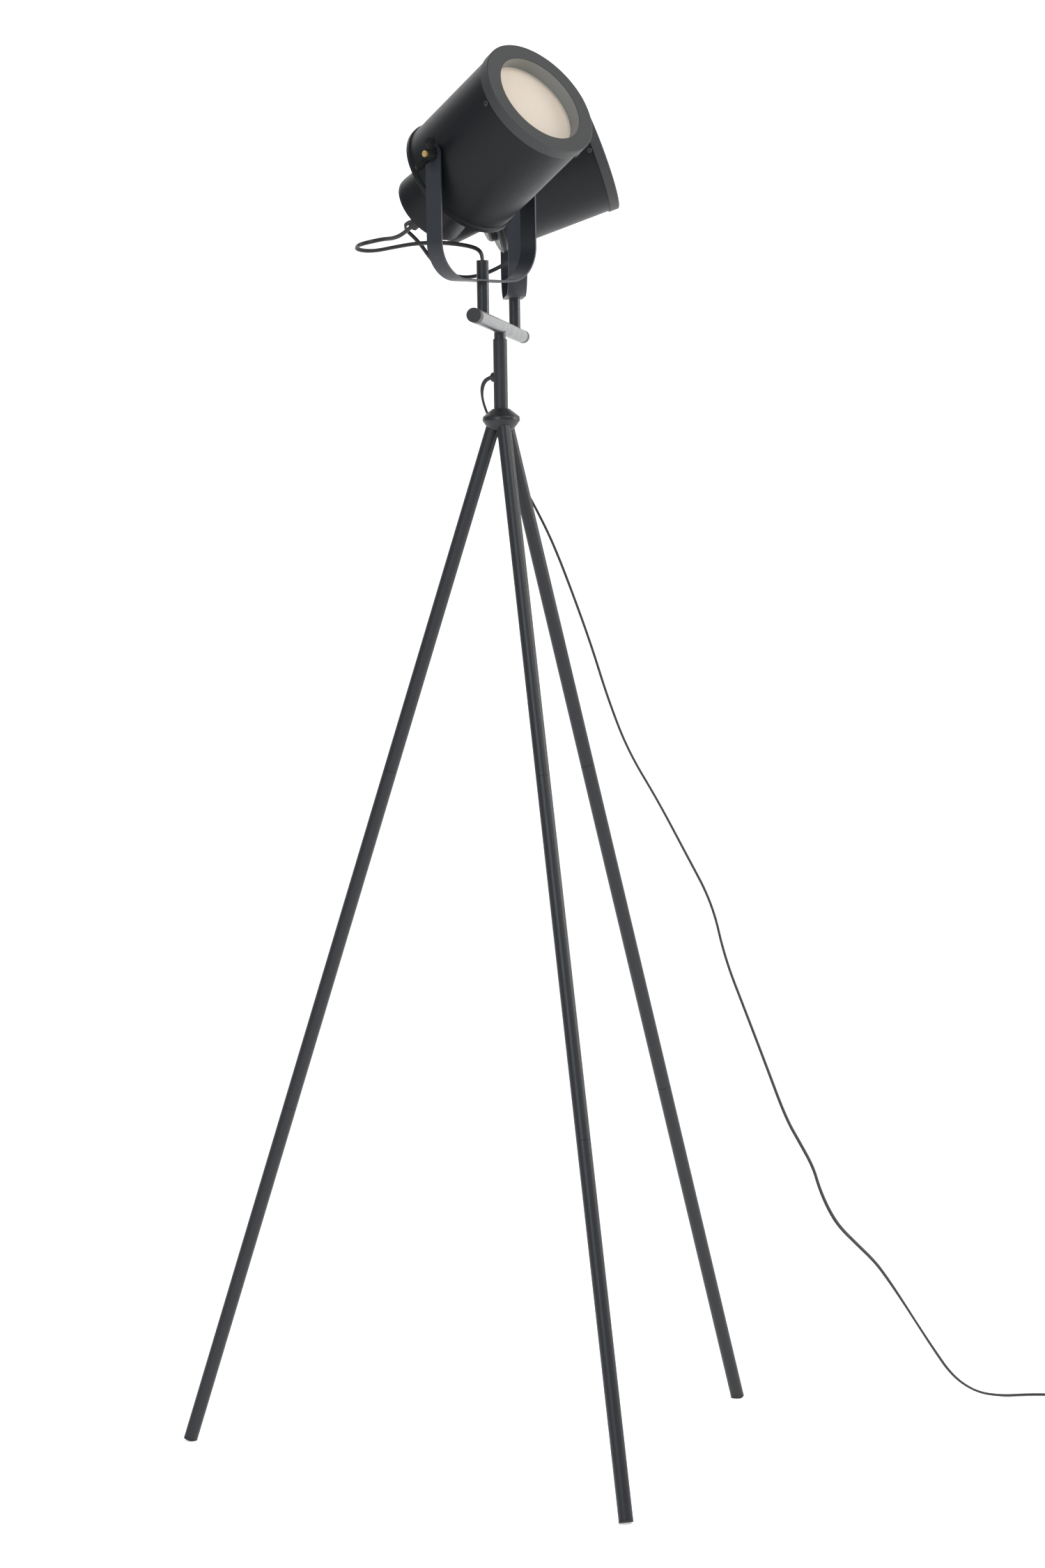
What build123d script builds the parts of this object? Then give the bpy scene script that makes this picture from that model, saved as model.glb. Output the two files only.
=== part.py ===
from build123d import *
import math
import os

os.makedirs("parts", exist_ok=True)

# Tripod floor lamp with two spot heads on a swivelling crossbar. Millimetres, +Z up.
# Origin: the point on the floor below the hub. The front leg points along -Y.

# Stand
TUBE_R = 9.0
TUBE_WALL = 1.0
BORE_R = TUBE_R - TUBE_WALL
RIM_CHAMFER = 0.35
LEG_ANGLES = {"front": -90.0, "right": 30.0, "left": 150.0}
FOOT_CIRCLE_R = 442.0
FOOT_FACE_Z = 0.8
LEG_TOP_R = 11.0
LEG_TOP_Z = 1320.0
SEAT_GAP = 0.2
LEG_SECTIONS = 3
FOOT_PLUG_HEAD = 3.0
HUB_TOP_Z = 1343.5
HUB_BOTTOM_Z = 1316.0
HUB_R = 24.2
STUD_R = 4.0
STUD_IN_HUB = 8.5
STUD_IN_LEG = 22.0

# Stem and threaded hollow nipples
NIPPLE_R = 5.0
NIPPLE_BORE_R = 3.6
THREAD_GAP = 0.05
STEM_TOP_Z = 1432.0
GROMMET_Z = 1384.0
GROMMET_AZ = 133.0
SWIVEL_GAP = 0.2

# Crossbar
BAR_AZ = 67.5
BAR_Z = 1448.0
BAR_HALF = 320.0
BAR_PLUG_HEAD = 30.0
POST_OFFSET = 205.0
POST_R = 7.5
POST_BORE_R = 6.3
COLLAR_TOP_Z = 1463.0

# Yokes
PIVOT_Z = 1645.0
YOKE_DROP = 151.0
STRAP_T = 2.0
STRAP_W = 25.0
STRAP_MID_Y = 83.6
STRAP_BEND_R = 45.0
SLEEVE_H = 24.0
HEADS = {"a": (-1, -60.2, 32.7), "b": (1, -13.6, 20.0)}

# Head, measured along its own axis from the tilt pivot
BEZEL_FACE = 120.0
BEZEL_R = 80.5
BEZEL_DEPTH = 13.5
OPENING_R = 60.0
CAN_R = 79.0
SHEET_T = 1.0
DIFFUSER_SET_BACK = 18.0
DIFFUSER_T = 3.0
SCREW_TURNS = (30.0, 150.0, 270.0)
SCREW_HEIGHT = 102.0
SCREW_R = 1.5
SCREW_HEAD_R = 3.4
CAN_REAR = -46.0
COLLAR_R = 62.0
COLLAR_REAR = -56.0
HOUSING_R = 44.5
HOUSING_REAR_R = 48.0
HOUSING_REAR = -106.0
HOUSING_WALL = 1.2
GLAND_TIP = -142.0
GLAND_R = 7.0
PIVOT_STUD_R = 4.0
STUD_END_Y = 99.0
WING_SPAN = 40.0
WING_TURNS = {"a": (115.0, 57.0), "b": (35.0, 80.0)}

# Cords, foot switch, put-away coil and plug
CORD_W = 5.4
CORD_R = CORD_W / 2
BEND_SHARE = 0.45
SWITCH_X = 812.0
SWITCH_Y0 = 10.0
SWITCH_L = 62.0
SWITCH_W = 32.0
SWITCH_H = 17.0
SWITCH_CORD_Z = 4.4
PEDAL_R = 9.0
PEDAL_TRAVEL = 3.0
COIL_X = 783.0
COIL_Y = -108.0
COIL_R = 30.0
COIL_WIDTH = 16.2
COIL_HEIGHT = 10.8
PLUG_X = 736.0
PLUG_Y = -176.0
PLUG_L = 37.0
PIN_R = 2.0
PIN_ROOT_R = 1.6
PIN_TIP_R = 1.2
PIN_PITCH = 19.0
PIN_L = 19.0


def save(part, name):
    export_step(part, f"parts/{name}.step")


def lift(z0, r, z1):
    """Upright cylinder from z0 to z1."""
    return Pos(0, 0, z0) * Cylinder(r, z1 - z0, align=(Align.CENTER, Align.CENTER, Align.MIN))


def pipe(z0, z1, r_out, r_in):
    return lift(z0, r_out, z1) - lift(z0 - 1, r_in, z1 + 1)


def hex_nut(z0, z1, corner_r, bore_r):
    nut = extrude(Pos(0, 0, z0) * RegularPolygon(corner_r, 6), z1 - z0)
    return nut - lift(z0 - 1, bore_r, z1 + 1)


def turned(points, radii=None):
    """Solid of revolution about Z from (radius, height) points."""
    if radii is None:
        outline = Polyline(*points, close=True)
    else:
        outline = FilletPolyline(*points, radius=radii, close=True)
    return revolve(Plane.XZ * make_face(outline), Axis.Z)


# ---------------------------------------------------------------- stand
LEG_RUN = FOOT_CIRCLE_R - LEG_TOP_R
LEG_TILT = math.degrees(math.atan2(LEG_RUN, LEG_TOP_Z - FOOT_FACE_Z))
LEG_LENGTH = math.hypot(LEG_RUN, LEG_TOP_Z - FOOT_FACE_Z)


def leg_frame(angle):
    """Frame with its origin on the foot plug's face and +Z up along the leg."""
    a = math.radians(angle)
    foot = (FOOT_CIRCLE_R * math.cos(a), FOOT_CIRCLE_R * math.sin(a), FOOT_FACE_Z)
    return Location(foot) * Rot(0, 0, angle) * Rot(0, -LEG_TILT, 0)


def hub():
    body = turned(
        [
            (0, HUB_BOTTOM_Z),
            (14.5, HUB_BOTTOM_Z),
            (20.6, HUB_BOTTOM_Z + 7.5),
            (HUB_R, HUB_BOTTOM_Z + 12.5),
            (HUB_R - 0.6, HUB_BOTTOM_Z + 17.5),
            (11.0, HUB_TOP_Z),
            (0, HUB_TOP_Z),
        ],
        [0, 3, 2, 2.5, 2.0, 0.8, 0],
    )
    body -= lift(HUB_TOP_Z - 13, NIPPLE_R + THREAD_GAP, HUB_TOP_Z + 1)
    for angle in LEG_ANGLES.values():
        seat = leg_frame(angle) * lift(LEG_LENGTH - 40, TUBE_R + SEAT_GAP, LEG_LENGTH)
        socket = leg_frame(angle) * lift(LEG_LENGTH - 1, STUD_R, LEG_LENGTH + STUD_IN_HUB + 0.5)
        body = body - seat - socket
    return body


def is_outer_rim(edge):
    return edge.geom_type == GeomType.CIRCLE and abs(edge.radius - TUBE_R) < 0.01


def leg_section(index):
    step = (LEG_LENGTH - FOOT_PLUG_HEAD) / LEG_SECTIONS
    low = FOOT_PLUG_HEAD + index * step
    tube = pipe(low, low + step, TUBE_R, BORE_R)
    outer_rims = tube.edges().filter_by(is_outer_rim)
    return chamfer(outer_rims, RIM_CHAMFER)


def leg_studs():
    """Threaded studs: two joints inside each leg, and a stepped one from each leg into the hub."""
    step = (LEG_LENGTH - FOOT_PLUG_HEAD) / LEG_SECTIONS
    studs = []
    for angle in LEG_ANGLES.values():
        for index in (1, 2):
            seam = FOOT_PLUG_HEAD + index * step
            studs.append(leg_frame(angle) * lift(seam - STUD_IN_LEG, BORE_R, seam + STUD_IN_LEG))
        collar = lift(LEG_LENGTH - STUD_IN_LEG, BORE_R, LEG_LENGTH)
        top_stud = collar + lift(LEG_LENGTH - 1, STUD_R, LEG_LENGTH + STUD_IN_HUB)
        studs.append(leg_frame(angle) * top_stud)
    return Compound(studs)


def foot_plug(angle):
    """Black plug in the tube end, worn flat where it meets the floor."""
    head = fillet(lift(0, TUBE_R, FOOT_PLUG_HEAD).edges().group_by(Axis.Z)[0], 0.8)
    plug = leg_frame(angle) * (head + lift(FOOT_PLUG_HEAD - 1, BORE_R, FOOT_PLUG_HEAD + 15))
    below_floor = Box(2000, 2000, 20, align=(Align.CENTER, Align.CENTER, Align.MAX))
    return plug - below_floor


def grommet_frame():
    """Frame on the stem axis with +Z out through the cable grommet."""
    return Pos(0, 0, GROMMET_Z) * Rot(0, 0, GROMMET_AZ) * Rot(0, 90, 0)


def stem_tube():
    tube = pipe(HUB_TOP_Z, STEM_TOP_Z, TUBE_R, BORE_R)
    return tube - grommet_frame() * lift(0, 4.6, 12)


def cable_grommet():
    """Snap-in bush: a neck in the stem wall and a domed head outside."""
    stem = lift(GROMMET_Z - 40, TUBE_R, GROMMET_Z + 40)
    head = fillet(lift(6, 6.2, 13).edges().group_by(Axis.Z)[-1], 2.5)
    bush = grommet_frame() * head - stem
    bush += grommet_frame() * lift(BORE_R - 0.6, 4.5, TUBE_R + 1)
    return bush - grommet_frame() * lift(0, CORD_W / 2, 20)


def stem_fittings():
    """Hollow nipple from the hub, and the bushes at the bottom and the top of the stem."""
    nipple = pipe(HUB_TOP_Z - 12.5, HUB_TOP_Z + 10, NIPPLE_R, NIPPLE_BORE_R)
    insert = pipe(HUB_TOP_Z, HUB_TOP_Z + 10, BORE_R, NIPPLE_R)
    top_bush = pipe(STEM_TOP_Z - 12, STEM_TOP_Z, BORE_R, NIPPLE_R + THREAD_GAP)
    return Compound([nipple + insert, top_bush])


def save_stand():
    save(hub(), "hub")
    for side, angle in LEG_ANGLES.items():
        for index, level in enumerate(("lower", "middle", "upper")):
            save(leg_frame(angle) * leg_section(index), f"leg_{side}_{level}")
    save(Compound([foot_plug(angle) for angle in LEG_ANGLES.values()]), "foot_plugs")
    save(leg_studs(), "leg_studs")
    save(stem_tube(), "stem_tube")
    save(stem_fittings(), "stem_fittings")
    save(cable_grommet(), "cable_grommet")


# ---------------------------------------------------------------- crossbar
def bar_frame():
    """Frame at the middle of the crossbar with +X towards its far end."""
    return Pos(0, 0, BAR_Z) * Rot(0, 0, BAR_AZ)


def along_bar(z0, z1, r):
    return Rot(0, 90, 0) * lift(z0, r, z1)


def crossbar_tube():
    end = BAR_HALF - BAR_PLUG_HEAD
    bar = along_bar(-end, end, TUBE_R) - along_bar(-end - 1, end + 1, BORE_R)
    bar -= lift(-TUBE_R - 2, NIPPLE_R + THREAD_GAP, 0)
    for side in (-1, 1):
        bar -= Pos(side * POST_OFFSET, 0, 0) * lift(0, NIPPLE_R + THREAD_GAP, TUBE_R + 2)
    return bar_frame() * bar


def crossbar_plug(side):
    end = BAR_HALF - BAR_PLUG_HEAD
    plug = fillet(lift(end, TUBE_R, BAR_HALF).edges().group_by(Axis.Z)[-1], 0.6)
    plug += lift(end - 20, BORE_R, end + 1)
    return bar_frame() * Rot(0, 90 * side, 0) * plug


def post_frame(side):
    return bar_frame() * Pos(side * POST_OFFSET, 0, -BAR_Z)


def bar_collars():
    """Stubs coped to the bar: the neck under it, and a collar on it for each post."""
    neck = pipe(STEM_TOP_Z + SWIVEL_GAP, BAR_Z, POST_R, NIPPLE_R + THREAD_GAP)
    stubs = [neck - bar_frame() * along_bar(-20, 20, TUBE_R)]
    for side in (-1, 1):
        stub = pipe(BAR_Z, COLLAR_TOP_Z, POST_R, NIPPLE_R + THREAD_GAP)
        stub = post_frame(side) * stub
        stubs.append(stub - bar_frame() * along_bar(-BAR_HALF, BAR_HALF, TUBE_R))
    return Compound(stubs)


def crossbar_nipples():
    """Hollow nipples through the bar's wall, with a lock nut under the stem's top bush."""
    neck_bottom = STEM_TOP_Z - 20
    nipples = [pipe(neck_bottom, BAR_Z - 1, NIPPLE_R, NIPPLE_BORE_R)]
    nipples[0] += hex_nut(neck_bottom, neck_bottom + 7.5, 6.4, NIPPLE_R - 0.5)
    for side in (-1, 1):
        nipple = pipe(BAR_Z + 1, PIVOT_Z - YOKE_DROP + 10, NIPPLE_R, NIPPLE_BORE_R)
        nipples.append(post_frame(side) * nipple)
    return Compound(nipples)


def save_crossbar():
    save(crossbar_tube(), "crossbar_tube")
    save(Compound([crossbar_plug(-1), crossbar_plug(1)]), "crossbar_end_plugs")
    save(bar_collars(), "bar_collars")
    save(crossbar_nipples(), "crossbar_nipples")
    for name, (side, _, _) in HEADS.items():
        post = pipe(COLLAR_TOP_Z, PIVOT_Z - YOKE_DROP, POST_R, POST_BORE_R)
        save(post_frame(side) * post, f"post_{name}")


# ---------------------------------------------------------------- yokes
def yoke_frame(name):
    """Frame at the tilt pivot with +X the way the head faces and +Y along the pivot."""
    side, azimuth, _ = HEADS[name]
    centre = (post_frame(side) * Pos(0, 0, PIVOT_Z)).position
    return Location((centre.X, centre.Y, centre.Z)) * Rot(0, 0, azimuth)


def yoke_strap():
    """Flat steel strip bent to a U, with round ends and a hole for each stud."""
    half = STRAP_MID_Y
    base = -YOKE_DROP + STRAP_T / 2
    line = FilletPolyline((-half, 0), (-half, base), (half, base), (half, 0), radius=STRAP_BEND_R)
    band = Plane.YZ * trace(line, STRAP_T)
    strap = extrude(band, STRAP_W / 2, both=True)
    for side in (-1, 1):
        end = Pos(0, side * half, 0) * Rot(90, 0, 0) * Cylinder(STRAP_W / 2, STRAP_T)
        hole = Pos(0, side * half, 0) * Rot(90, 0, 0) * Cylinder(PIVOT_STUD_R + 0.08, 10)
        strap = strap + end - hole
    return strap - lift(-YOKE_DROP - 5, NIPPLE_R + THREAD_GAP, -YOKE_DROP + 5)


def cord_sleeve():
    """Cap nut that holds the strap on the post; the head lead enters its top."""
    foot = -YOKE_DROP + STRAP_T
    sleeve = fillet(lift(foot, POST_R, foot + SLEEVE_H).edges().group_by(Axis.Z)[-1], 0.5)
    sleeve -= lift(foot - 1, NIPPLE_R + THREAD_GAP, foot + 10)
    return sleeve - lift(foot, CORD_W / 2 + 0.1, foot + SLEEVE_H + 1)


# ---------------------------------------------------------------- heads
def head_frame(name):
    """Frame at the tilt pivot with +Z out of the front of the head and +Y along the pivot."""
    tilt = HEADS[name][2]
    return yoke_frame(name) * Rot(0, -tilt, 0) * Rot(0, 90, 0)


def stud_axis(y0, y1, r):
    """Cylinder along +Y from y0 to y1."""
    return Rot(-90, 0, 0) * lift(y0, r, y1)


def can():
    """Rolled steel drum with a bead at its rear rim and a stepped rear face."""
    inner = CAN_R - SHEET_T
    front = BEZEL_FACE - SHEET_T
    shell = turned(
        [
            (inner, front),
            (CAN_R, front),
            (CAN_R, CAN_REAR + 9),
            (CAN_R + 2.2, CAN_REAR + 7),
            (CAN_R + 2.2, CAN_REAR + 2.5),
            (CAN_R - 1.0, CAN_REAR),
            (COLLAR_R + 1, CAN_REAR + 1),
            (COLLAR_R, COLLAR_REAR + 2.5),
            (COLLAR_R - 2.5, COLLAR_REAR),
            (HOUSING_R - 1.4, COLLAR_REAR),
            (HOUSING_R - 1.4, COLLAR_REAR + SHEET_T),
            (COLLAR_R - 3.2, COLLAR_REAR + SHEET_T),
            (COLLAR_R - 1, COLLAR_REAR + 4),
            (COLLAR_R - 1, CAN_REAR + 2.2),
            (inner, CAN_REAR + 2.2),
        ]
    )
    return shell - stud_axis(-90, 90, PIVOT_STUD_R) - screw_holes()


def bezel():
    """Pressed front ring: flat face, rounded outer edge, skirt over the can."""
    face = BEZEL_FACE
    skirt = face - BEZEL_DEPTH
    return turned(
        [
            (OPENING_R, face - SHEET_T),
            (OPENING_R, face),
            (BEZEL_R, face),
            (BEZEL_R, skirt),
            (CAN_R, skirt),
            (CAN_R, face - SHEET_T),
        ],
        [0, 0.4, 1.4, 0.6, 0, 0],
    )


def diffuser_frame():
    """Ring behind the bezel: a wall round the recessed diffuser, with three tabs that hold it."""
    front = BEZEL_FACE - SHEET_T
    back = BEZEL_FACE - DIFFUSER_SET_BACK
    ring = turned(
        [
            (OPENING_R, front),
            (CAN_R - SHEET_T, front),
            (CAN_R - SHEET_T, front - 24),
            (CAN_R - 2 * SHEET_T, front - 24),
            (CAN_R - 2 * SHEET_T, front - SHEET_T),
            (OPENING_R + SHEET_T, front - SHEET_T),
            (OPENING_R + SHEET_T, back),
            (OPENING_R, back),
        ]
    )
    for turn in (30, 150, 270):
        shelf = Pos(OPENING_R + 3.5, 0, back + 1.5) * Box(6, 9, 1)
        drop = Pos(OPENING_R + 6, 0, back - 1) * Box(1, 9, 6)
        lip = Pos(OPENING_R + 4, 0, back - DIFFUSER_T - 0.5) * Box(5, 9, 1)
        ring += Rot(0, 0, turn) * (shelf + drop + lip)
    return ring - screw_holes()


def diffuser():
    back = BEZEL_FACE - DIFFUSER_SET_BACK
    return lift(back - DIFFUSER_T, OPENING_R + 4, back)


def screw_frames():
    """Frames on the drum's axis with +Z outwards, one for each screw."""
    return [Pos(0, 0, SCREW_HEIGHT) * Rot(0, 0, turn) * Rot(0, 90, 0) for turn in SCREW_TURNS]


def screw_holes():
    return Compound([frame * lift(CAN_R - 6, SCREW_R, CAN_R + 3) for frame in screw_frames()])


def bezel_screws():
    """Pan-head screws through the drum into the skirt of the diffuser's frame."""
    head = fillet(lift(CAN_R - 0.1, SCREW_HEAD_R, CAN_R + 2).edges().group_by(Axis.Z)[-1], 1.2)
    cross = Pos(0, 0, CAN_R + 1.8) * (Box(3.4, 0.8, 1.4) + Box(0.8, 3.4, 1.4))
    shank = lift(CAN_R - 5, SCREW_R, CAN_R + 0.5)
    drum = lift(0, CAN_R, BEZEL_FACE)
    screws = []
    for frame in screw_frames():
        screws.append(frame * (head - cross) - drum + frame * shank)
    return Compound(screws)


def rear_housing():
    """Spun cup that covers the lampholder, flared to a rounded rear rim."""
    wall = HOUSING_WALL
    cup = turned(
        [
            (HOUSING_R - wall, COLLAR_REAR),
            (HOUSING_R, COLLAR_REAR),
            (HOUSING_R, COLLAR_REAR - 6),
            (HOUSING_REAR_R, HOUSING_REAR + 6),
            (HOUSING_REAR_R, HOUSING_REAR + 1),
            (HOUSING_REAR_R - 3, HOUSING_REAR),
            (0, HOUSING_REAR),
            (0, HOUSING_REAR + wall),
            (HOUSING_REAR_R - 3.5, HOUSING_REAR + wall),
            (HOUSING_REAR_R - wall, HOUSING_REAR + 4),
            (HOUSING_R - wall, COLLAR_REAR - 6),
        ]
    )
    return cup - lift(HOUSING_REAR - 2, 5.0, HOUSING_REAR + 4)


def cord_gland():
    """Screwed cord clamp in the middle of the housing's rear face."""
    body = turned(
        [
            (0, HOUSING_REAR),
            (8.5, HOUSING_REAR),
            (8.5, HOUSING_REAR - 5),
            (GLAND_R, HOUSING_REAR - 7),
            (GLAND_R, GLAND_TIP + 1),
            (GLAND_R - 1, GLAND_TIP),
            (0, GLAND_TIP),
        ]
    )
    body += lift(HOUSING_REAR - 1, 5.0, HOUSING_REAR + 5)
    return body - lift(GLAND_TIP - 1, CORD_W / 2 + 0.1, HOUSING_REAR + 6)


def lampholder():
    """Ceramic screw lampholder, fixed to the housing's rear wall."""
    back = HOUSING_REAR + HOUSING_WALL
    body = lift(back, 19, back + 48) - lift(back + 22, 13.4, back + 49)
    return body - lift(back - 1, 9, back + 8) - lift(back, 4, back + 23)


def lamp_bulb():
    """Round bulb with its screw cap in the lampholder."""
    back = HOUSING_REAR + 23
    return turned(
        [
            (0, back),
            (13.2, back + 1),
            (13.2, back + 26),
            (16, back + 30),
            (29.5, back + 62),
            (30, back + 74),
            (20, back + 98),
            (0, back + 105),
        ],
        [0, 0.5, 1, 4, 12, 14, 14, 0],
    )


def pivot_spacer(side):
    """Round distance piece, hollowed to sit on the drum."""
    low = CAN_R - 3
    high = STRAP_MID_Y - STRAP_T / 2 - 0.1
    spacer = stud_axis(low, high, 8) - stud_axis(low - 1, high + 1, PIVOT_STUD_R)
    spacer -= lift(-20, CAN_R, 20)
    return spacer if side > 0 else Rot(0, 0, 180) * spacer


def pivot_stud(side):
    """Brass threaded stud with a low square head inside the drum."""
    inner = CAN_R - SHEET_T - 8
    stud = stud_axis(inner, STUD_END_Y, PIVOT_STUD_R)
    stud += Pos(0, inner, 0) * Box(10, 3, 10)
    nut = Rot(-90, 0, 0) * hex_nut(inner + 1.5, inner + 5, 6, PIVOT_STUD_R - 0.5)
    stud += nut
    return stud if side > 0 else Rot(0, 0, 180) * stud


def wing_nut():
    """Wing nut on the end of a stud that runs along +Y."""
    seat = STRAP_MID_Y + STRAP_T / 2 + 0.2
    top = seat + 10
    boss = Rot(-90, 0, 0) * turned([(0, seat), (8, seat), (6.6, top), (0, top)], [0, 0.5, 1.2, 0])
    half = WING_SPAN / 2
    outline = FilletPolyline(
        (3, seat + 1),
        (3, top - 1),
        (half - 7, top + 9),
        (half, top + 7),
        (half - 2, seat + 6),
        (9, seat + 1),
        radius=[0.5, 0.8, 4, 4, 5, 0.5],
        close=True,
    )
    wing = extrude(make_face(outline), 1.4, both=True)
    nut = boss + wing + Rot(0, 180, 0) * wing
    return nut - stud_axis(seat - 1, top + 14, PIVOT_STUD_R + THREAD_GAP)


def placed_wing_nut(side, turn):
    nut = Rot(0, turn, 0) * wing_nut()
    return nut if side > 0 else Rot(0, 0, 180) * nut


# ---------------------------------------------------------------- cords
def cord_tube(points, radius):
    """Round tube along straight runs joined by tangent arcs."""
    spots = [Vector(*p) for p in points]
    runs = [(b - a).length for a, b in zip(spots, spots[1:])]
    bends = []
    for i in range(1, len(spots) - 1):
        turn = (spots[i] - spots[i - 1]).get_angle(spots[i + 1] - spots[i])
        shorter = min(runs[i - 1], runs[i])
        bends.append(BEND_SHARE * shorter / math.tan(math.radians(turn / 2)))
    line = FilletPolyline(*spots, radius=bends)
    section = Plane(origin=spots[0], z_dir=spots[1] - spots[0]) * Circle(radius)
    return sweep(section, path=line)


# Head leads, in the yoke's frame: out of the gland, round a hanging loop, into the sleeve.
LEAD_A = [
    (-120.6, 0, -76.8),
    (-139, 2, -86),
    (-162, 8, -89),
    (-186, 17, -88),
    (-205, 15, -90),
    (-214, 1, -94),
    (-206, -15, -99),
    (-186, -24, -104),
    (-160, -26, -106),
    (-130, -24, -103),
    (-98, -20, -100),
    (-66, -14, -100),
    (-38, -8, -103),
    (-17, -3.5, -107),
    (-5, -1, -111.5),
    (0, 0, -119),
    (0, 0, -127),
]
LEAD_B = [
    (-134.4, 0, -48.9),
    (-140, 3, -51),
    (-143, 8.5, -54.5),
    (-139.5, 13.5, -60.5),
    (-131, 16, -68),
    (-121, 17.5, -79),
    (-111.5, 18, -93),
    (-99, 18, -108),
    (-83, 19, -118.5),
    (-62, 20, -122.5),
    (-38, 20, -118),
    (-17, 20, -108.5),
    (-2, 18.5, -99.5),
    (7.5, 14, -94.5),
    (9.5, 6, -95),
    (5, 1, -100),
    (0, 0, -109),
    (0, 0.01, -127),
]

# Mains cord: out of the grommet, behind the hub, down to the floor on the right, and along it.
MAINS_CORD = [
    (-8.9, 9.5, 1384),
    (-13.9, 14.9, 1382),
    (-17.6, 19.2, 1376),
    (-18.6, 22.5, 1367),
    (-17.0, 25.5, 1357),
    (-12.5, 30.0, 1346),
    (-6, 35.0, 1334),
    (2, 39.0, 1321),
    (10, 42.5, 1307),
    (18, 43.0, 1292),
    (27, 41.0, 1274),
    (37, 38.5, 1251),
    (55, 38, 1219),
    (79, 39, 1172),
    (106, 42, 1105),
    (131, 44, 1037),
    (153, 47, 969),
    (180, 49, 900),
    (222, 52, 832),
    (260, 56, 763),
    (298, 59, 694),
    (315, 61, 621),
    (344, 63, 548),
    (373, 66, 475),
    (401, 68, 402),
    (422, 69.5, 366),
    (440, 71, 334),
    (449, 72.5, 305),
    (462, 74, 276),
    (477, 75, 252),
    (500, 77, 229),
    (530, 79, 200),
    (549, 81, 175),
    (571, 83, 143),
    (592, 85, 111),
    (614, 87, 78),
    (645, 90, 34),
    (681, 92, 9),
    (718, 91, 2.7),
    (750, 88, 2.7),
    (779, 77, 2.7),
    (801, 58, 2.7),
    (811, 34, 3.4),
    (812, 10, 4.4),
]
# Short length from the foot switch to the coil, and from the coil to the plug.
SWITCH_TAIL = [(812, -68, 4.4), (812.2, -84, 3.4), (812, -100, 2.9)]
PLUG_TAIL = [(786, -143.5, 2.9), (767, -146.5, 2.7), (748, -152, 3.2), (739.5, -162, 4.6), (736, -176, 6.5)]


def foot_switch_frame():
    """Frame on the floor at the middle of the foot switch, with +X along the cord."""
    return Pos(SWITCH_X, SWITCH_Y0 - 8 - SWITCH_L / 2, 0) * Rot(0, 0, -90)


def foot_switch_body():
    """Two-part housing with a nozzle for the cord at each end and a well for the pedal."""
    outline = fillet(Box(SWITCH_L, SWITCH_W, SWITCH_H).edges().filter_by(Axis.Z), 9)
    shell = Pos(0, 0, SWITCH_H / 2) * outline
    shell = fillet(shell.edges().group_by(Axis.Z)[-1], 3)
    nozzles = Pos(0, 0, SWITCH_CORD_Z) * Rot(0, 90, 0) * Cylinder(4.3, SWITCH_L + 16)
    well = lift(4, PEDAL_R + 0.15, SWITCH_H + 1) + lift(4, PEDAL_R + 2.2, 9)
    bore = Pos(0, 0, SWITCH_CORD_Z) * Rot(0, 90, 0) * Cylinder(CORD_R + 0.05, SWITCH_L + 20)
    return foot_switch_frame() * (shell + nozzles - well - bore)


def foot_switch_pedal():
    """Round push button with a retaining flange inside the housing."""
    cap = fillet(lift(7.3, PEDAL_R, SWITCH_H + PEDAL_TRAVEL + 0.5).edges().group_by(Axis.Z)[-1], 1.5)
    return foot_switch_frame() * (cap + lift(7.3, PEDAL_R + 1.5, 8.9))


def coil_solid():
    """Outer shape of the put-away coil: three turns wide, two turns high."""
    low, high = COIL_R - COIL_WIDTH / 2, COIL_R + COIL_WIDTH / 2
    ring = turned([(low, 0), (high, 0), (high, COIL_HEIGHT), (low, COIL_HEIGHT)], [2, 2, 2, 2])
    return Pos(COIL_X, COIL_Y, 0) * ring


def plug_frame():
    """Frame at the cord's end of the plug, with +X towards the pins."""
    return Pos(PLUG_X, PLUG_Y, 6.5) * Rot(0, 0, -104)


def plug_body():
    """Flat two-pin plug with a tapered neck for the cord."""
    neck = Rot(0, 90, 0) * Cone(3.6, 5.4, 16, align=(Align.CENTER, Align.CENTER, Align.MIN))
    slab = Pos(13 + (PLUG_L - 13) / 2, 0, 0) * Box(PLUG_L - 13, 27, 13)
    slab = fillet(slab.edges(), 4)
    return plug_frame() * (neck + slab - pins_at_plug())


def pins_at_plug():
    pins = []
    for side in (-1, 1):
        pin = fillet(lift(PLUG_L, PIN_R, PLUG_L + PIN_L).edges().group_by(Axis.Z)[-1], PIN_TIP_R)
        pin = Rot(0, 90, 0) * (pin + lift(PLUG_L - 8, PIN_ROOT_R, PLUG_L))
        pins.append(Pos(0, side * PIN_PITCH / 2, 0) * pin)
    return Compound(pins)


def save_cords():
    save(cord_tube(MAINS_CORD, CORD_R), "mains_cord")
    tails = [cord_tube(SWITCH_TAIL, CORD_R), cord_tube(PLUG_TAIL, CORD_R)]
    save(Compound(tails) - coil_solid(), "mains_cord_tails")
    save(coil_solid(), "mains_cord_coil")
    save(foot_switch_body(), "foot_switch_body")
    save(foot_switch_pedal(), "foot_switch_pedal")
    save(plug_body(), "plug_body")
    save(plug_frame() * pins_at_plug(), "plug_pins")
    save(yoke_frame("a") * cord_tube(LEAD_A, CORD_R - 0.1), "head_lead_a")
    save(yoke_frame("b") * cord_tube(LEAD_B, CORD_R - 0.1), "head_lead_b")


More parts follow.
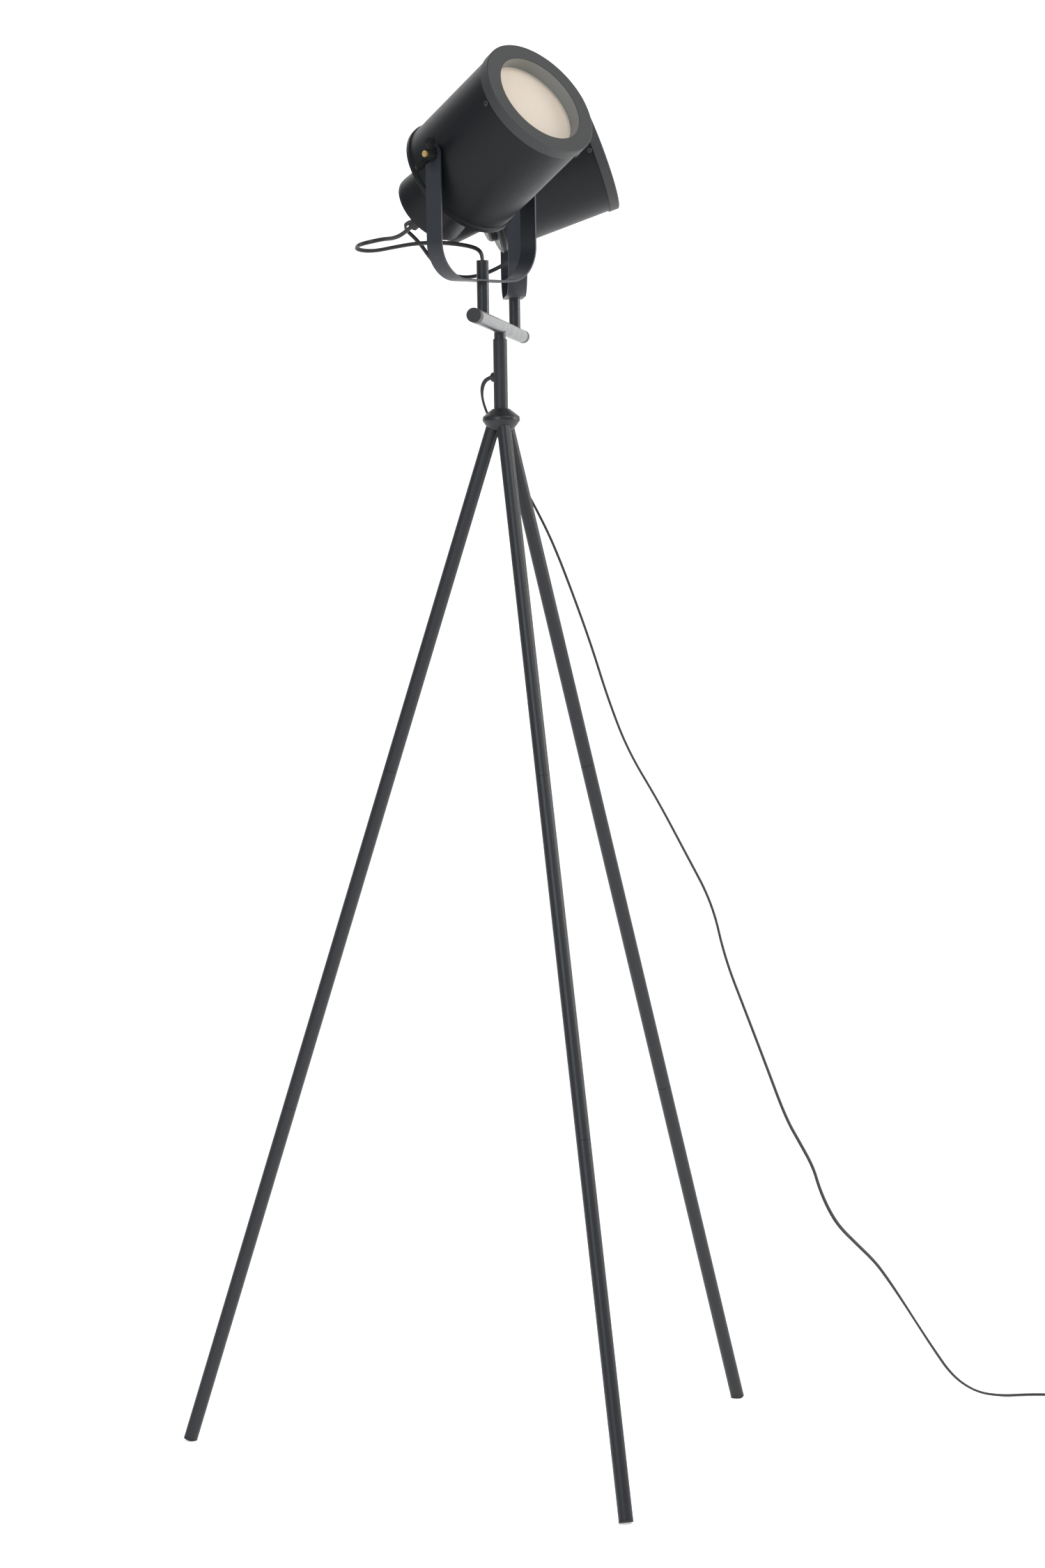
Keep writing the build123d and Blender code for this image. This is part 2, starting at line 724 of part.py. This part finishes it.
def save_heads():
    head_parts = {
        "can": can(),
        "bezel": bezel(),
        "diffuser_frame": diffuser_frame(),
        "diffuser": diffuser(),
        "bezel_screws": bezel_screws(),
        "rear_housing": rear_housing(),
        "cord_gland": cord_gland(),
        "lampholder": lampholder(),
        "lamp_bulb": lamp_bulb(),
        "pivot_studs": Compound([pivot_stud(1), pivot_stud(-1)]),
        "pivot_spacers": Compound([pivot_spacer(1), pivot_spacer(-1)]),
    }
    for name in HEADS:
        save(yoke_frame(name) * yoke_strap(), f"yoke_strap_{name}")
        save(yoke_frame(name) * cord_sleeve(), f"cord_sleeve_{name}")
        for part_name, part in head_parts.items():
            save(head_frame(name) * part, f"{part_name}_{name}")
        for side, turn, hand in zip((1, -1), WING_TURNS[name], ("left", "right")):
            save(yoke_frame(name) * placed_wing_nut(side, turn), f"wing_nut_{name}_{hand}")


save_stand()
save_crossbar()
save_heads()
save_cords()
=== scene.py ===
import bmesh
import bpy
import math
from mathutils import Matrix, Vector


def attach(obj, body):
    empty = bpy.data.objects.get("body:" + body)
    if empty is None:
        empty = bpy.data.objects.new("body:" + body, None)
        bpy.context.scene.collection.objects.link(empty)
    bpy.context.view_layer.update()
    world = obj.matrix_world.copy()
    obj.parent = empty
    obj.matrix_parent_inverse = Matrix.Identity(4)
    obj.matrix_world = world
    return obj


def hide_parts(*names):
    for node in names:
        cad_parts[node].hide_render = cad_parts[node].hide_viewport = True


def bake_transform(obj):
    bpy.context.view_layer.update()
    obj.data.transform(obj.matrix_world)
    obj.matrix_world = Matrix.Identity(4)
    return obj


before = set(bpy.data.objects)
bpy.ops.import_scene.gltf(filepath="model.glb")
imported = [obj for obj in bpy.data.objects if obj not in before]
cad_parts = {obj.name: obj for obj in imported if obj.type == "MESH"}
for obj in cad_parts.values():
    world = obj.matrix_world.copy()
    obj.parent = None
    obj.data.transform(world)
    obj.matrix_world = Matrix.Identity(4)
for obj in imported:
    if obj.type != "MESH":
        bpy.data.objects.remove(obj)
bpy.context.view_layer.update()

bpy.ops.object.select_all(action="DESELECT")

# ---------------------------------------------------------------- camera
# A long lens a little below the height of the hub, looking slightly down, so that the legs
# stay almost parallel and the two heads overlap.
camera_data = bpy.data.cameras.new("camera")
camera_data.lens = 100.8
camera_data.sensor_width = 36.0
camera_data.clip_end = 60.0
camera = bpy.data.objects.new("camera", camera_data)
bpy.context.collection.objects.link(camera)
yaw, pitch, roll = math.radians(17.12), math.radians(-3.4), math.radians(-0.9)
forward = Vector((math.sin(yaw) * math.cos(pitch), math.cos(yaw) * math.cos(pitch), math.sin(pitch)))
level_right = Vector((math.cos(yaw), -math.sin(yaw), 0.0))
level_up = level_right.cross(forward)
right = math.cos(roll) * level_right + math.sin(roll) * level_up
up = math.cos(roll) * level_up - math.sin(roll) * level_right
turn = Matrix((right, up, -forward)).transposed()
camera.matrix_world = Matrix.Translation((-1.6348, -5.3748, 1.1975)) @ turn.to_4x4()
bpy.context.scene.camera = camera

# ---------------------------------------------------------------- studio
# A glowing white floor and a white wall far behind, in a dimmer room, so that the coated steel
# is dark in front and bright along its edges. Softboxes stand right, left and high in front, and
# the left one is cooler, as window light is.
def glowing_white(name, strength, reflectance):
    made = bpy.data.materials.new(name)
    made.use_nodes = True
    paint = made.node_tree.nodes["Principled BSDF"]
    paint.inputs["Base Color"].default_value = (reflectance, reflectance, reflectance, 1)
    paint.inputs["Roughness"].default_value = 0.9
    paint.inputs["Emission Color"].default_value = (1, 1, 1, 1)
    paint.inputs["Emission Strength"].default_value = strength
    return made


FLOOR_SIZE, FLOOR_GAP = 60, 0.0005
WALL_SIZE, WALL_DISTANCE = 34, 15.0
LAMP_MIDDLE = Vector((0, 0, 1.2))
bpy.ops.mesh.primitive_plane_add(size=FLOOR_SIZE, location=(0, 0, -FLOOR_GAP))
floor = bpy.context.object
floor.name = "studio_floor"
floor.data.materials.append(glowing_white("floor_white", 0.55, 0.85))
back_wall_at = WALL_DISTANCE * Vector((math.sin(yaw), math.cos(yaw), 0))
upright = (math.radians(90), 0, -yaw)
bpy.ops.mesh.primitive_plane_add(size=WALL_SIZE, location=back_wall_at, rotation=upright)
back_wall = bpy.context.object
back_wall.name = "studio_wall"
back_wall.data.materials.append(glowing_white("wall_white", 1.0, 0.4))

world = bpy.data.worlds.new("dim_white_room")
world.use_nodes = True
world.node_tree.nodes["Background"].inputs["Color"].default_value = (0.93, 0.96, 1.0, 1)
world.node_tree.nodes["Background"].inputs["Strength"].default_value = 0.42
bpy.context.scene.world = world
bpy.context.scene.view_settings.view_transform = "Standard"

for name, place, size, power, tint in (
    ("softbox_right", (3.4, -0.6, 2.0), 1.8, 50.0, (1.0, 0.99, 0.97)),
    ("softbox_left", (-3.0, -3.4, 3.0), 2.0, 75.0, (0.80, 0.90, 1.0)),
    ("softbox_above", (1.9, -2.4, 4.4), 2.0, 90.0, (1.0, 0.99, 0.97)),
):
    lamp = bpy.data.lights.new(name, "AREA")
    lamp.size = size
    lamp.energy = power
    lamp.color = tint
    softbox = bpy.data.objects.new(name, lamp)
    softbox.location = place
    softbox.rotation_mode = "QUATERNION"
    softbox.rotation_quaternion = (LAMP_MIDDLE - Vector(place)).to_track_quat("-Z", "Y")
    bpy.context.collection.objects.link(softbox)

# ---------------------------------------------------------------- cords
# Oval two-core cord, 5.4 by 3.2 mm, in dark soft PVC. It is swept along a smooth line, with the
# broad side turned by the listed angles where it hangs and flat where it lies.
CORD_WIDE, CORD_THICK = 0.0054, 0.0032
SECTION_STEPS, SECTION_STEP = 9, 22.5
STEEP = 0.12


def soft_pvc(name, colour, roughness):
    made = bpy.data.materials.new(name)
    made.use_nodes = True
    nodes, links = made.node_tree.nodes, made.node_tree.links
    skin = nodes["Principled BSDF"]
    place = nodes.new("ShaderNodeTexCoord")
    cloud = nodes.new("ShaderNodeTexNoise")
    cloud.inputs["Scale"].default_value = 45
    cloud.inputs["Detail"].default_value = 4
    tint = nodes.new("ShaderNodeMix")
    tint.data_type = "RGBA"
    tint.inputs[6].default_value = (*[c * 0.8 for c in colour], 1)
    tint.inputs[7].default_value = (*[c * 1.25 for c in colour], 1)
    grain = nodes.new("ShaderNodeTexNoise")
    grain.inputs["Scale"].default_value = 1500
    bump = nodes.new("ShaderNodeBump")
    bump.inputs["Strength"].default_value = 0.15
    bump.inputs["Distance"].default_value = 0.0001
    for texture in (cloud, grain):
        links.new(place.outputs["Object"], texture.inputs["Vector"])
    links.new(cloud.outputs["Fac"], tint.inputs["Factor"])
    links.new(tint.outputs[2], skin.inputs["Base Color"])
    links.new(grain.outputs["Fac"], bump.inputs["Height"])
    links.new(bump.outputs["Normal"], skin.inputs["Normal"])
    skin.inputs["Roughness"].default_value = roughness
    return made


def smooth_line(points):
    """Points of the NURBS spline that has the route's points as its control points."""
    data = bpy.data.curves.new("route", "CURVE")
    data.dimensions = "3D"
    data.resolution_u = 10
    spline = data.splines.new("NURBS")
    spline.points.add(len(points) - 1)
    for at, p in zip(spline.points, points):
        at.co = (p[0] / 1000, p[1] / 1000, p[2] / 1000, 1)
    spline.order_u = 3
    spline.use_endpoint_u = True
    holder = bpy.data.objects.new("route", data)
    bpy.context.collection.objects.link(holder)
    bpy.context.view_layer.update()
    mesh = bpy.data.meshes.new_from_object(holder.evaluated_get(bpy.context.evaluated_depsgraph_get()))
    line = [v.co.copy() for v in mesh.vertices]
    bpy.data.objects.remove(holder)
    bpy.data.meshes.remove(mesh)
    return line


def oval_cord(name, line, turns, wide=CORD_WIDE, thick=CORD_THICK):
    """Oval tube along line. turns gives the broad side's turn in degrees from level, evenly spread."""
    mesh = bpy.data.meshes.new(name)
    built = bmesh.new()
    flat_half, round_r = (wide - thick) / 2, thick / 2
    section = []
    for side in (1, -1):
        for step in range(SECTION_STEPS):
            a = math.radians(-90 + SECTION_STEP * step)
            section.append((side * (flat_half + round_r * math.cos(a)), side * round_r * math.sin(a)))
    rings = []
    across = None
    for i, at in enumerate(line):
        ahead = line[min(i + 1, len(line) - 1)] - line[max(i - 1, 0)]
        ahead.normalize()
        level = ahead.cross(Vector((0, 0, 1)))
        if level.length < STEEP and across is not None:
            level = across - ahead * across.dot(ahead)
        level.normalize()
        if across is not None and level.dot(across) < 0:
            level = -level
        across = level
        share = i / (len(line) - 1) * (len(turns) - 1)
        low = min(int(share), len(turns) - 2)
        angle = math.radians(turns[low] + (turns[low + 1] - turns[low]) * (share - low))
        broad = Matrix.Rotation(angle, 3, ahead) @ level
        narrow = ahead.cross(broad)
        rings.append([built.verts.new(at + broad * u + narrow * v) for u, v in section])
    count = len(section)
    for a, b in zip(rings, rings[1:]):
        for k in range(count):
            built.faces.new((a[k], a[(k + 1) % count], b[(k + 1) % count], b[k]))
    built.faces.new(list(reversed(rings[0])))
    built.faces.new(rings[-1])
    bmesh.ops.recalc_face_normals(built, faces=built.faces)
    built.to_mesh(mesh)
    built.free()
    mesh.shade_smooth()
    made = bpy.data.objects.new(name, mesh)
    bpy.context.collection.objects.link(made)
    return made


cord_pvc = soft_pvc("cord_pvc", (0.017, 0.0145, 0.0155), 0.42)

# Mains cord: out of the grommet, behind the hub, down to the floor on the right, and along it.
MAINS_CORD = [
    (-8.9, 9.5, 1384), (-13.9, 14.9, 1382), (-17.6, 19.2, 1376), (-18.6, 22.5, 1367),
    (-17.0, 25.5, 1357), (-12.5, 30.0, 1346), (-6, 35.0, 1334), (2, 39.0, 1321),
    (10, 42.5, 1307), (18, 43.0, 1292), (27, 41.0, 1274), (37, 38.5, 1251),
    (55, 38, 1219), (79, 39, 1172), (106, 42, 1105), (131, 44, 1037),
    (153, 47, 969), (180, 49, 900), (222, 52, 832), (260, 56, 763),
    (298, 59, 694), (315, 61, 621), (344, 63, 548), (373, 66, 475),
    (401, 68, 402), (422, 69.5, 366), (440, 71, 334), (449, 72.5, 305),
    (462, 74, 276), (477, 75, 252), (500, 77, 229), (530, 79, 200),
    (549, 81, 175), (571, 83, 143), (592, 85, 111), (614, 87, 78),
    (645, 90, 34), (681, 92, 9),
    (718, 91, 1.6), (750, 88, 1.6), (779, 77, 1.6), (801, 58, 1.8),
    (811, 34, 3.2), (812, 10, 4.4),
]
mains_line = smooth_line(MAINS_CORD)
mains_cord = oval_cord("mains_cord_sheath", mains_line, (90, 60, 15, 10, 15, 20, 30, 50, 60, 40, 0, 0, 0))
mains_cord.data.materials.append(cord_pvc)
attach(mains_cord, "stand")
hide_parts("mains_cord")

# Rest of the mains cord: a short tail from the foot switch, a neat coil of six turns in two
# layers, and a tail to the plug.
COIL_X, COIL_Y, COIL_TURNS, STEPS_PER_TURN = 783.0, -108.0, 6, 14
OUTER_TURN_R, LAYER_SHRINK, TURNS_PER_LAYER = 35.0, 9.0, 3
LOW_LAYER_Z, LAYER_RISE = 2.9, 5.4
LOOSENESS = 0.5
coil_route = [(812, -68, 4.4), (812.3, -76, 4.0), (812.6, -86, 3.2)]
for step in range(COIL_TURNS * STEPS_PER_TURN + 1):
    turns_done = step / STEPS_PER_TURN
    angle = math.radians(35) - 2 * math.pi * turns_done
    inward = min(turns_done / TURNS_PER_LAYER, 2 - turns_done / TURNS_PER_LAYER)
    radius = OUTER_TURN_R - LAYER_SHRINK * inward + LOOSENESS * math.sin(2.3 * angle + 1.1)
    height = LOW_LAYER_Z + LAYER_RISE * min(1.0, max(0.0, turns_done - 2.75) * 2)
    coil_route.append((COIL_X + radius * math.cos(angle), COIL_Y + radius * math.sin(angle), height))
while coil_route[-1][1] > COIL_Y - 30 or coil_route[-1][0] > COIL_X + 6:
    coil_route.pop()
coil_route += [
    (773, -145.5, 6.2), (762, -148.5, 3.8), (749, -152.5, 3.2), (740, -162, 4.6), (736, -176, 6.5),
]
coil_line = smooth_line(coil_route)
coil_cord = oval_cord("mains_cord_rest", coil_line, (0, 90, 90, 90, 90, 90, 90, 90, 90, 90, 90, 90, 90, 0))
coil_cord.data.materials.append(cord_pvc)
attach(coil_cord, "stand")
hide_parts("mains_cord_coil", "mains_cord_tails")

# Head leads: from the gland at the back of each head, round a loose hanging loop, into the
# sleeve on the post.
HEAD_LEADS = {
    "a": [
        (-120.6, 0, -76.8), (-139, 2, -86), (-162, 8, -89), (-186, 17, -88), (-205, 15, -90),
        (-214, 1, -94), (-206, -15, -99), (-186, -24, -104), (-160, -26, -106), (-130, -24, -103),
        (-98, -20, -100), (-66, -14, -100), (-38, -8, -103), (-17, -3.5, -107), (-5, -1, -111.5),
        (0, 0, -119), (0, 0.01, -127),
    ],
    "b": [
        (-134.4, 0, -48.9), (-140, 3, -51), (-143, 8.5, -54.5), (-139.5, 13.5, -60.5),
        (-131, 16, -68), (-121, 17.5, -79), (-111.5, 18, -93), (-99, 18, -108),
        (-83, 19, -118.5), (-62, 20, -122.5), (-38, 20, -118), (-17, 20, -108.5),
        (-2, 18.5, -99.5), (7.5, 14, -94.5), (9.5, 6, -95), (5, 1, -100),
        (0, 0, -109), (0, 0.01, -127),
    ],
}
HEADS = {"a": (-1, -60.2), "b": (1, -13.6)}
POST_OFFSET, BAR_AZIMUTH, PIVOT_HEIGHT = 205, 67.5, 1645


def tilt_pivot(name):
    """Middle of a head's tilt axis in millimetres, and the way the head faces, in degrees."""
    side, azimuth = HEADS[name]
    bar = math.radians(BAR_AZIMUTH)
    offset = side * POST_OFFSET
    return Vector((offset * math.cos(bar), offset * math.sin(bar), PIVOT_HEIGHT)), azimuth


for name, route in HEAD_LEADS.items():
    pivot, azimuth = tilt_pivot(name)
    facing = Matrix.Rotation(math.radians(azimuth), 3, "Z")
    lead_line = smooth_line([pivot + facing @ Vector(p) for p in route])
    lead = oval_cord(f"head_lead_sheath_{name}", lead_line, (70, 80, 85, 70, 55, 65, 80, 60, 0))
    lead.data.materials.append(cord_pvc)
    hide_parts(f"head_lead_{name}")
    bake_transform(lead)

# ---------------------------------------------------------------- stand
# Three legs of steel tube, each screwed together from three lengths, meet in a turned hub.
# The steel is powder coated in satin charcoal, with a fine grain and faint clouds in its gloss.
def powder_coat(name, colour, roughness, shine=0.42, grain_depth=0.00006):
    made = bpy.data.materials.new(name)
    made.use_nodes = True
    nodes, links = made.node_tree.nodes, made.node_tree.links
    skin = nodes["Principled BSDF"]
    place = nodes.new("ShaderNodeTexCoord")
    cloud = nodes.new("ShaderNodeTexNoise")
    cloud.inputs["Scale"].default_value = 9
    cloud.inputs["Detail"].default_value = 5
    tint = nodes.new("ShaderNodeMix")
    tint.data_type = "RGBA"
    tint.inputs[6].default_value = (*[c * 0.88 for c in colour], 1)
    tint.inputs[7].default_value = (*[c * 1.12 for c in colour], 1)
    smear = nodes.new("ShaderNodeTexNoise")
    smear.inputs["Scale"].default_value = 55
    smear.inputs["Detail"].default_value = 3
    gloss = nodes.new("ShaderNodeMapRange")
    gloss.inputs["To Min"].default_value = roughness - 0.05
    gloss.inputs["To Max"].default_value = roughness + 0.06
    grain = nodes.new("ShaderNodeTexNoise")
    grain.inputs["Scale"].default_value = 1300
    grain.inputs["Detail"].default_value = 2
    bump = nodes.new("ShaderNodeBump")
    bump.inputs["Strength"].default_value = 0.22
    bump.inputs["Distance"].default_value = grain_depth
    for texture in (cloud, smear, grain):
        links.new(place.outputs["Object"], texture.inputs["Vector"])
    links.new(cloud.outputs["Fac"], tint.inputs["Factor"])
    links.new(tint.outputs[2], skin.inputs["Base Color"])
    links.new(smear.outputs["Fac"], gloss.inputs["Value"])
    links.new(gloss.outputs["Result"], skin.inputs["Roughness"])
    links.new(grain.outputs["Fac"], bump.inputs["Height"])
    links.new(bump.outputs["Normal"], skin.inputs["Normal"])
    skin.inputs["Specular IOR Level"].default_value = shine
    return made


def finish_node(node, material):
    node_object = bpy.data.objects[node]
    node_object.data.materials.clear()
    node_object.data.materials.append(material)


tube_coat = powder_coat("tube_coat", (0.016, 0.0165, 0.019), 0.40)
hub_coat = powder_coat("hub_coat", (0.013, 0.0135, 0.015), 0.38)
for side in ("front", "right", "left"):
    for level in ("lower", "middle", "upper"):
        finish_node(f"leg_{side}_{level}", tube_coat)
finish_node("stem_tube", tube_coat)
finish_node("hub", hub_coat)

# Threaded studs and hollow nipples inside the tubes: zinc-plated steel with turned thread lines.
zinc = bpy.data.materials.new("zinc_plate")
zinc.use_nodes = True
zinc_nodes, zinc_links = zinc.node_tree.nodes, zinc.node_tree.links
zinc_place = zinc_nodes.new("ShaderNodeTexCoord")
zinc_thread = zinc_nodes.new("ShaderNodeTexWave")
zinc_thread.bands_direction = "Z"
zinc_thread.inputs["Scale"].default_value = 210
zinc_bump = zinc_nodes.new("ShaderNodeBump")
zinc_bump.inputs["Distance"].default_value = 0.0003
zinc_cloud = zinc_nodes.new("ShaderNodeTexNoise")
zinc_cloud.inputs["Scale"].default_value = 120
zinc_gloss = zinc_nodes.new("ShaderNodeMapRange")
zinc_gloss.inputs["To Min"].default_value = 0.25
zinc_gloss.inputs["To Max"].default_value = 0.45
for texture in (zinc_thread, zinc_cloud):
    zinc_links.new(zinc_place.outputs["Object"], texture.inputs["Vector"])
zinc_links.new(zinc_thread.outputs["Fac"], zinc_bump.inputs["Height"])
zinc_links.new(zinc_bump.outputs["Normal"], zinc_nodes["Principled BSDF"].inputs["Normal"])
zinc_links.new(zinc_cloud.outputs["Fac"], zinc_gloss.inputs["Value"])
zinc_links.new(zinc_gloss.outputs["Result"], zinc_nodes["Principled BSDF"].inputs["Roughness"])
zinc_nodes["Principled BSDF"].inputs["Base Color"].default_value = (0.58, 0.58, 0.6, 1)
zinc_nodes["Principled BSDF"].inputs["Metallic"].default_value = 1.0
for node in ("leg_studs", "stem_fittings", "crossbar_nipples"):
    finish_node(node, zinc)

# Feet, grommet and bar ends: plugs moulded in matt black plastic with a fine spark texture.
def moulded_plastic(name, colour, roughness):
    made = soft_pvc(name, colour, roughness)
    made.node_tree.nodes["Principled BSDF"].inputs["Coat Weight"].default_value = 0.05
    return made


black_plastic = moulded_plastic("black_plastic", (0.012, 0.012, 0.013), 0.6)
for node in ("foot_plugs", "cable_grommet", "crossbar_end_plugs"):
    finish_node(node, black_plastic)

# ---------------------------------------------------------------- crossbar
# Tube with a closed end at each side, on a neck that turns in the stem, and two short posts.
bar_coat = powder_coat("bar_coat", (0.016, 0.0165, 0.019), 0.27, shine=0.5, grain_depth=0.00001)
for node in ("crossbar_tube", "bar_collars", "post_a", "post_b"):
    finish_node(node, bar_coat)

# ---------------------------------------------------------------- yokes
# Steel strip bent to a U, in a slightly bluer and smoother coat, with a cap nut on the post.
strap_coat = powder_coat("strap_coat", (0.017, 0.0195, 0.026), 0.42)
for name in HEADS:
    finish_node(f"yoke_strap_{name}", strap_coat)
    finish_node(f"cord_sleeve_{name}", hub_coat)

# ---------------------------------------------------------------- heads
# Rolled drum, pressed bezel and spun rear housing, all coated; the drum is the smoothest.
drum_coat = powder_coat("drum_coat", (0.0068, 0.0072, 0.0086), 0.38, shine=0.22)
# The bezel takes a lighter copy of the heads' black coat: painted light for the ring face that turns
# towards the softboxes.
bezel_coat_painted_light = powder_coat("bezel_coat_painted_light", (0.042, 0.042, 0.0425), 0.50, shine=0.3)
# The diffuser frame is a white-painted ring. Its grey coat here is painted shade for the shadowed wall of
# the recess.
recess_shade_coat = powder_coat("recess_painted_shade", (0.205, 0.203, 0.188), 0.55)
screw_coat = powder_coat("screw_coat", (0.03, 0.03, 0.032), 0.3)
for name in HEADS:
    finish_node(f"can_{name}", drum_coat)
    finish_node(f"rear_housing_{name}", drum_coat)
    finish_node(f"pivot_spacers_{name}", drum_coat)
    finish_node(f"bezel_{name}", bezel_coat_painted_light)
    finish_node(f"diffuser_frame_{name}", recess_shade_coat)
    finish_node(f"bezel_screws_{name}", screw_coat)
    finish_node(f"cord_gland_{name}", black_plastic)

# Diffuser: opal acrylic disc, cream, with a faint cloudiness.
opal = bpy.data.materials.new("opal_acrylic")
opal.use_nodes = True
opal_nodes, opal_links = opal.node_tree.nodes, opal.node_tree.links
opal_skin = opal_nodes["Principled BSDF"]
opal_place = opal_nodes.new("ShaderNodeTexCoord")
opal_cloud = opal_nodes.new("ShaderNodeTexNoise")
opal_cloud.inputs["Scale"].default_value = 16
opal_tint = opal_nodes.new("ShaderNodeMix")
opal_tint.data_type = "RGBA"
opal_tint.inputs[6].default_value = (0.59, 0.51, 0.42, 1)
opal_tint.inputs[7].default_value = (0.65, 0.565, 0.475, 1)
opal_links.new(opal_place.outputs["Object"], opal_cloud.inputs["Vector"])
opal_links.new(opal_cloud.outputs["Fac"], opal_tint.inputs["Factor"])
opal_links.new(opal_tint.outputs[2], opal_skin.inputs["Base Color"])
opal_skin.inputs["Roughness"].default_value = 0.35
opal_skin.inputs["Subsurface Weight"].default_value = 0.25
opal_skin.inputs["Subsurface Scale"].default_value = 0.004
opal_skin.inputs["Coat Weight"].default_value = 0.15

# Lampholder and lamp: glazed porcelain, and a frosted bulb; the frosted finish covers its cap too.
porcelain = moulded_plastic("porcelain", (0.72, 0.70, 0.66), 0.18)
frosted = moulded_plastic("frosted_glass", (0.80, 0.79, 0.76), 0.3)
frosted.node_tree.nodes["Principled BSDF"].inputs["Transmission Weight"].default_value = 0.35

# Pivot studs: turned brass with a fine thread.
brass = zinc.copy()
brass.name = "brass_thread"
brass.node_tree.nodes["Principled BSDF"].inputs["Base Color"].default_value = (0.62, 0.45, 0.17, 1)
for name in HEADS:
    finish_node(f"diffuser_{name}", opal)
    finish_node(f"lampholder_{name}", porcelain)
    finish_node(f"lamp_bulb_{name}", frosted)
    finish_node(f"pivot_studs_{name}", brass)

# ---------------------------------------------------------------- wing nuts
# Cast wing nuts, blackened, one on the end of each pivot stud. A tapered boss with a threaded
# bore carries two flat ears, which widen to a round tip and rise away from the strap.
casting = powder_coat("black_casting", (0.006, 0.006, 0.0065), 0.55, shine=0.2, grain_depth=0.00015)
NUT_SEAT, BOSS_HEIGHT, BOSS_R = 0.0848, 0.010, 0.0080
EAR_R, EAR_THICK, EAR_OUT, EAR_UP = 0.0074, 0.0028, 0.0150, 0.0128
THREAD_BORE_R, DRILL_LENGTH = 0.00405, 0.06
EAR_ROOT_X, EAR_ROOT_Y = -0.0046, -0.0078
WING_TURNS = {"a": {"left": 115, "right": 57}, "b": {"left": 35, "right": 80}}


def select_points(piece, wanted):
    """In edit mode, select the points of the piece for which wanted(place) is true."""
    bpy.ops.mesh.select_all(action="DESELECT")
    bpy.ops.object.mode_set(mode="OBJECT")
    for point in piece.data.vertices:
        point.select = wanted(point.co)
    bpy.ops.object.mode_set(mode="EDIT")


def cut_or_join(piece, other, operation):
    blend = piece.modifiers.new("solid", "BOOLEAN")
    blend.operation = operation
    blend.solver = "EXACT"
    blend.object = other
    bpy.context.view_layer.objects.active = piece
    bpy.ops.object.modifier_apply(modifier="solid")
    bpy.data.objects.remove(other)


def wing_nut_boss():
    bpy.ops.object.select_all(action="DESELECT")
    bpy.ops.mesh.primitive_cylinder_add(vertices=56, radius=BOSS_R, depth=BOSS_HEIGHT)
    boss = bpy.context.object
    bpy.ops.object.mode_set(mode="EDIT")
    bpy.ops.mesh.select_mode(type="VERT")
    select_points(boss, lambda place: place.z < 0)
    bpy.ops.transform.resize(value=(0.82, 0.82, 1))
    bpy.ops.object.mode_set(mode="OBJECT")
    onto_stud = Matrix.Rotation(math.radians(90), 4, "X")
    boss.data.transform(Matrix.Translation((0, NUT_SEAT + BOSS_HEIGHT / 2, 0)) @ onto_stud)
    return boss


def wing_nut_ear(side):
    bpy.ops.object.select_all(action="DESELECT")
    bpy.ops.mesh.primitive_cylinder_add(vertices=44, radius=EAR_R, depth=EAR_THICK)
    ear = bpy.context.object
    bpy.ops.object.mode_set(mode="EDIT")
    bpy.ops.mesh.select_mode(type="VERT")
    select_points(ear, lambda place: place.x < -0.25 * EAR_R)
    bpy.ops.transform.translate(value=(EAR_ROOT_X, EAR_ROOT_Y, 0))
    bpy.ops.transform.resize(value=(1, 0.72, 1.45))
    bpy.ops.object.mode_set(mode="OBJECT")
    ear.data.transform(Matrix.Translation((EAR_OUT, NUT_SEAT + EAR_UP, 0)))
    if side < 0:
        ear.data.transform(Matrix.Rotation(math.pi, 4, "Y"))
    return ear


def cast_wing_nut(name, hand, turn):
    nut = wing_nut_boss()
    for side in (1, -1):
        cut_or_join(nut, wing_nut_ear(side), "UNION")
    bpy.ops.mesh.primitive_cylinder_add(vertices=40, radius=THREAD_BORE_R, depth=DRILL_LENGTH)
    drill = bpy.context.object
    drill.data.transform(Matrix.Translation((0, NUT_SEAT, 0)) @ Matrix.Rotation(math.radians(90), 4, "X"))
    cut_or_join(nut, drill, "DIFFERENCE")
    rounding = nut.modifiers.new("cast_edges", "BEVEL")
    rounding.width = 0.0006
    rounding.segments = 3
    rounding.limit_method = "ANGLE"
    rounding.angle_limit = math.radians(38)
    bpy.ops.object.modifier_apply(modifier="cast_edges")
    pivot, azimuth = tilt_pivot(name)
    place = Matrix.Translation(pivot / 1000) @ Matrix.Rotation(math.radians(azimuth), 4, "Z")
    if hand == "right":
        place = place @ Matrix.Rotation(math.pi, 4, "Z")
    nut.data.transform(place @ Matrix.Rotation(math.radians(turn), 4, "Y"))
    bpy.ops.object.select_all(action="DESELECT")
    nut.select_set(True)
    bpy.context.view_layer.objects.active = nut
    bpy.ops.object.shade_smooth_by_angle(angle=math.radians(40))
    nut.name = f"cast_wing_nut_{name}_{hand}"
    nut.data.materials.append(casting)
    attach(nut, f"wing_nut_{name}_{hand}")
    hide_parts(f"wing_nut_{name}_{hand}")


for name, turns in WING_TURNS.items():
    for hand, turn in turns.items():
        cast_wing_nut(name, hand, turn)

# ---------------------------------------------------------------- foot switch and plug
# Two moulded black housings; the plug has nickel-plated pins.
nickel = zinc.copy()
nickel.name = "nickel_plate"
nickel.node_tree.nodes["Principled BSDF"].inputs["Base Color"].default_value = (0.7, 0.68, 0.63, 1)
for node in ("foot_switch_body", "foot_switch_pedal", "plug_body"):
    finish_node(node, black_plastic)
finish_node("plug_pins", nickel)
